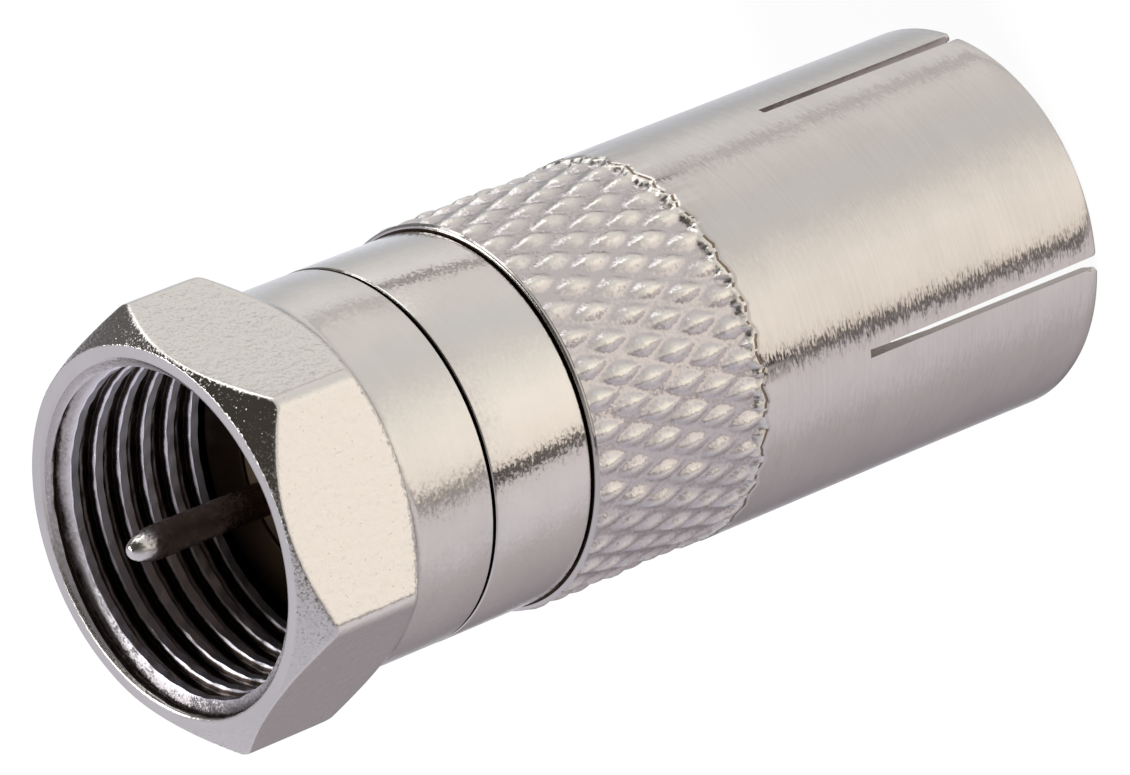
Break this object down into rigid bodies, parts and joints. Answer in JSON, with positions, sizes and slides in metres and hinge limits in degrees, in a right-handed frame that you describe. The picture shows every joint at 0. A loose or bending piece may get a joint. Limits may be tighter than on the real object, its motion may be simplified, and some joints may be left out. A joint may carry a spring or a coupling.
{
  "type": "coaxial adapter with f plug and aerial socket",
  "caption": "Straight coaxial adapter: F-type plug with a turning hexagon nut and centre pin at one end, knurled grip and slotted aerial socket at the other.",
  "frame": {"origin": "centre of the socket's end face, on which the adapter stands", "axes": "+Z along the adapter's axis from the socket end towards the nut and the pin; +X and -X pass through the first saw cut"},
  "size_m": [0.0112, 0.0118, 0.0291],
  "materials": {
    "nickel_sleeve": "satin nickel plate with fine turning marks",
    "nickel_ring": "satin nickel plate",
    "nickel_ferrule": "satin nickel plate",
    "nickel_nut": "satin nickel plate with a fine grain on the flats",
    "insulator": "matt moulded plastic",
    "contact": "plated, dulled on the shaft and bright at the tip"
  },
  "bodies": {
    "adapter_body": {"rear_sleeve": "nickel_sleeve", "collar_ring": "nickel_ring", "retaining_ferrule": "nickel_ferrule", "rear_insulator": "insulator", "front_insulator": "insulator", "centre_contact": "contact"},
    "nut": {"coupling_nut": "nickel_nut"}
  },
  "joints": [
    {"name": "nut_turn", "type": "hinge", "parent": "adapter_body", "child": "nut", "pos_m": [0, 0, 0.0218], "axis": [0, 0, 1], "continuous": true}
  ]
}
